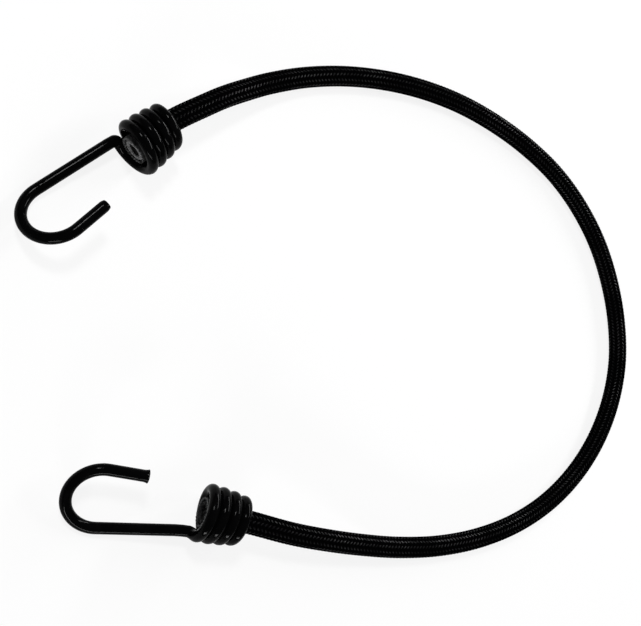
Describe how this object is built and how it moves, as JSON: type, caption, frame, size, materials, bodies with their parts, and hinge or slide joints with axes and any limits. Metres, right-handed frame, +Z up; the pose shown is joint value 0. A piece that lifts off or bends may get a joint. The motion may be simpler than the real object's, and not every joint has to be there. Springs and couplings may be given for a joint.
{
  "type": "bungee cord",
  "caption": "Elastic cord of rubber strands in a black braided sheath, lying in an open loop, with a coated wire hook coiled onto each crimped end.",
  "frame": {"origin": "on the table under the middle of the box around the two hooks", "axes": "+X from the hooks towards the far side of the cord's loop, +Y from the lower hook to the upper one, +Z up from the table"},
  "size_m": [0.2651, 0.1914, 0.0193],
  "materials": {
    "sheath": "matt fine braid with grey flecks",
    "core_rubber": "matt",
    "ferrule": "dull zinc, crimped",
    "hook_steel": "drawn wire",
    "hook_coating": "glossy dipped coating"
  },
  "bodies": {
    "cord": {"braided_sheath": "sheath", "rubber_strand_1": "core_rubber", "rubber_strand_2": "core_rubber", "rubber_strand_3": "core_rubber", "rubber_strand_4": "core_rubber", "rubber_strand_5": "core_rubber", "rubber_strand_6": "core_rubber", "rubber_strand_7": "core_rubber", "rubber_strand_8": "core_rubber", "rubber_strand_9": "core_rubber", "rubber_strand_10": "core_rubber", "rubber_strand_11": "core_rubber", "rubber_strand_12": "core_rubber"},
    "upper_end": {"upper_crimp_ferrule": "ferrule"},
    "upper_hook": {"upper_hook_wire": "hook_steel", "upper_hook_coating": "hook_coating"},
    "lower_end": {"lower_crimp_ferrule": "ferrule"},
    "lower_hook": {"lower_hook_wire": "hook_steel", "lower_hook_coating": "hook_coating"}
  },
  "joints": [
    {"name": "upper_stretch", "type": "slide", "parent": "cord", "child": "upper_end", "axis": [-1, 0, 0], "range_m": [0, 0.2], "stiffness_N_per_m": 400, "deforming": ["braided_sheath", "rubber_strand_1", "rubber_strand_2", "rubber_strand_3", "rubber_strand_4", "rubber_strand_5", "rubber_strand_6", "rubber_strand_7", "rubber_strand_8", "rubber_strand_9", "rubber_strand_10", "rubber_strand_11", "rubber_strand_12"]},
    {"name": "upper_swivel", "type": "hinge", "parent": "upper_end", "child": "upper_hook", "pos_m": [-0.00199, 0.05758, 0.00939], "axis": [0.7569, 0.651, 0.0568], "range_deg": [-180, 180]},
    {"name": "lower_stretch", "type": "slide", "parent": "cord", "child": "lower_end", "axis": [-1, 0, 0], "range_m": [0, 0.2], "stiffness_N_per_m": 400, "deforming": ["braided_sheath", "rubber_strand_1", "rubber_strand_2", "rubber_strand_3", "rubber_strand_4", "rubber_strand_5", "rubber_strand_6", "rubber_strand_7", "rubber_strand_8", "rubber_strand_9", "rubber_strand_10", "rubber_strand_11", "rubber_strand_12"]},
    {"name": "lower_swivel", "type": "hinge", "parent": "lower_end", "child": "lower_hook", "pos_m": [0.02099, -0.06237, 0.0092], "axis": [0.9606, -0.2754, 0.0369], "range_deg": [-180, 180]}
  ]
}
